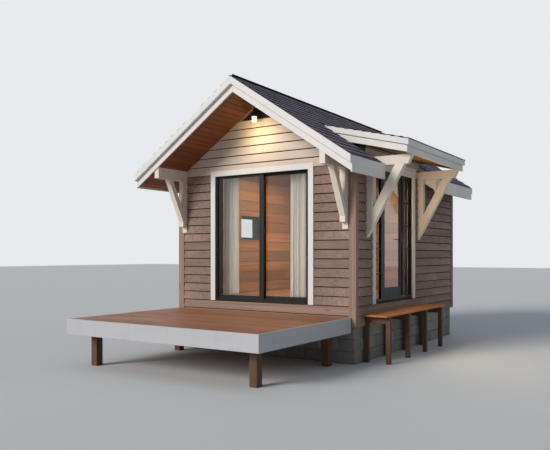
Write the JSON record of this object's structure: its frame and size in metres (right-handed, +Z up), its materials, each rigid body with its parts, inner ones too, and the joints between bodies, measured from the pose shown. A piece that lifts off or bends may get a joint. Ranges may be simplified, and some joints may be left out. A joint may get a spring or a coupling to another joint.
{
  "type": "timber cabin with a deck",
  "caption": "Small board-clad timber cabin on a plinth, with a bracketed gable overhang, a sliding patio door onto a deck, and a canopied side door with sidelights.",
  "frame": {"origin": "on the ground, in the middle of the foot of the front plinth", "axes": "+Z up, +Y from the front gable to the back, +X to the right seen from the deck, towards the side door"},
  "size_m": [4.817, 7.677, 4.6801],
  "materials": {
    "stone_plinth": "rough masonry",
    "wall_cladding": "weathered stained boards",
    "gable_cladding": "cream painted boards",
    "trim": "off-white painted timber",
    "corner_trim": "stained timber",
    "floor_wood": "oiled boards",
    "roofing": "granule-faced shingles",
    "deck_wood": "oiled red-brown boards",
    "deck_rim": "pale grey painted board",
    "framing": "dark stained timber",
    "door_metal": "dark powder coat",
    "clear_glass": "clear double glazing",
    "dark_metal": "satin black",
    "lamp_glass": "lit frosted glass",
    "curtain_fabric": "pale linen"
  },
  "bodies": {
    "cabin": {"plinth_ends": "stone_plinth", "plinth_sides": "stone_plinth", "cabin_floor": "floor_wood", "front_wall": "wall_cladding", "front_gable": "gable_cladding", "back_wall": "wall_cladding", "left_wall": "wall_cladding", "right_wall": "wall_cladding", "right_wall_head": "wall_cladding", "door_thresholds": "wall_cladding", "corner_boards": "corner_trim", "roof_left": "roofing", "roof_right": "roofing", "ridge_cap": "roofing", "bargeboards_left": "trim", "bargeboards_right": "trim", "eave_boards": "trim", "canopy_roof": "roofing", "canopy_side_boards": "trim", "canopy_cheeks": "roofing", "notch_boards": "trim", "bracket_posts": "trim", "bracket_struts": "trim", "bracket_beams": "trim", "door_casings": "trim", "patio_frame": "door_metal", "patio_fixed_panel": "door_metal", "fixed_glass": "clear_glass", "side_door_frame": "door_metal", "side_frame_trim": "door_metal", "side_door_hinges": "dark_metal", "window_frame": "door_metal", "deck_boards": "deck_wood", "deck_rim_front": "deck_rim", "deck_rim_sides": "deck_rim", "deck_joists": "framing", "deck_girders": "framing", "deck_posts": "framing", "landing_deck": "deck_wood", "landing_trestles": "framing", "gable_lamp": "dark_metal", "lamp_glass": "lamp_glass", "curtain_rod": "dark_metal", "curtains": "curtain_fabric"},
    "sliding_panel": {"patio_sliding_panel": "door_metal", "patio_sliding_glass": "clear_glass", "patio_pull": "dark_metal"},
    "side_door": {"side_door_leaf": "door_metal", "side_door_glass": "clear_glass", "side_door_handle": "dark_metal"}
  },
  "joints": [
    {"name": "patio_door_slide", "type": "slide", "parent": "cabin", "child": "sliding_panel", "axis": [-1, 0, 0], "range_m": [0, 0.8]},
    {"name": "side_door_hinge", "type": "hinge", "parent": "cabin", "child": "side_door", "pos_m": [1.7447, 0.9595, 2.05], "axis": [0, 0, 1], "range_deg": [0, 95]}
  ]
}
